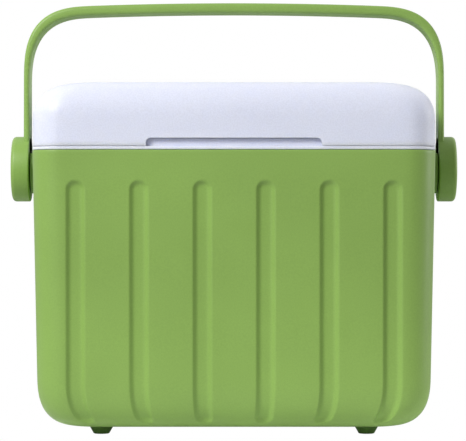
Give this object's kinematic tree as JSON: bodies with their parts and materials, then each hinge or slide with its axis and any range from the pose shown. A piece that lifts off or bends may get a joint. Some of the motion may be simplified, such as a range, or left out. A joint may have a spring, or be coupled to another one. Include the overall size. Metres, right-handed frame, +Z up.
{
  "type": "insulated cool box",
  "caption": "Moulded plastic cool box with a fluted tub, a hinged insulated lid with a finger recess, and a swinging strap handle.",
  "frame": {"origin": "on the ground under the centre of the whole box, hinges included", "axes": "+Z up, -Y towards the front with the finger recess, +X to the right seen from the front"},
  "size_m": [0.3752, 0.2357, 0.3575],
  "materials": {
    "green_plastic": "satin",
    "white_plastic": "satin",
    "feet": "matte",
    "foam": "matte",
    "steel": "satin"
  },
  "bodies": {
    "cabinet": {"outer_shell": "green_plastic", "inner_liner": "white_plastic", "tub_foam": "foam", "foot_front_left": "feet", "foot_front_right": "feet", "foot_rear_left": "feet", "foot_rear_right": "feet", "foot_screw_front_left": "steel", "foot_screw_front_right": "steel", "foot_screw_rear_left": "steel", "foot_screw_rear_right": "steel", "pivot_boss_left": "green_plastic", "pivot_sleeve_left": "green_plastic", "pivot_washer_left": "steel", "pivot_screw_left": "steel", "hinge_tub_left": "white_plastic", "hinge_pin_left": "steel", "hinge_screw_tub_left_a": "steel", "hinge_screw_tub_left_b": "steel", "pivot_boss_right": "green_plastic", "pivot_sleeve_right": "green_plastic", "pivot_washer_right": "steel", "pivot_screw_right": "steel", "hinge_tub_right": "white_plastic", "hinge_pin_right": "steel", "hinge_screw_tub_right_a": "steel", "hinge_screw_tub_right_b": "steel"},
    "lid": {"lid_shell": "white_plastic", "lid_liner": "white_plastic", "lid_foam": "foam", "hinge_lid_left": "white_plastic", "hinge_screw_lid_left_a": "steel", "hinge_screw_lid_left_b": "steel", "hinge_lid_right": "white_plastic", "hinge_screw_lid_right_a": "steel", "hinge_screw_lid_right_b": "steel"},
    "handle": {"handle": "green_plastic", "hub_cap_left": "green_plastic", "hub_cap_right": "green_plastic"}
  },
  "joints": [
    {"name": "handle_swing", "type": "hinge", "parent": "cabinet", "child": "handle", "pos_m": [0, -0.00335, 0.2179], "axis": [1, 0, 0], "range_deg": [-109, 109]},
    {"name": "lid_open", "type": "hinge", "parent": "cabinet", "child": "lid", "pos_m": [0, 0.11475, 0.23415], "axis": [-1, 0, 0], "range_deg": [0, 22]}
  ]
}
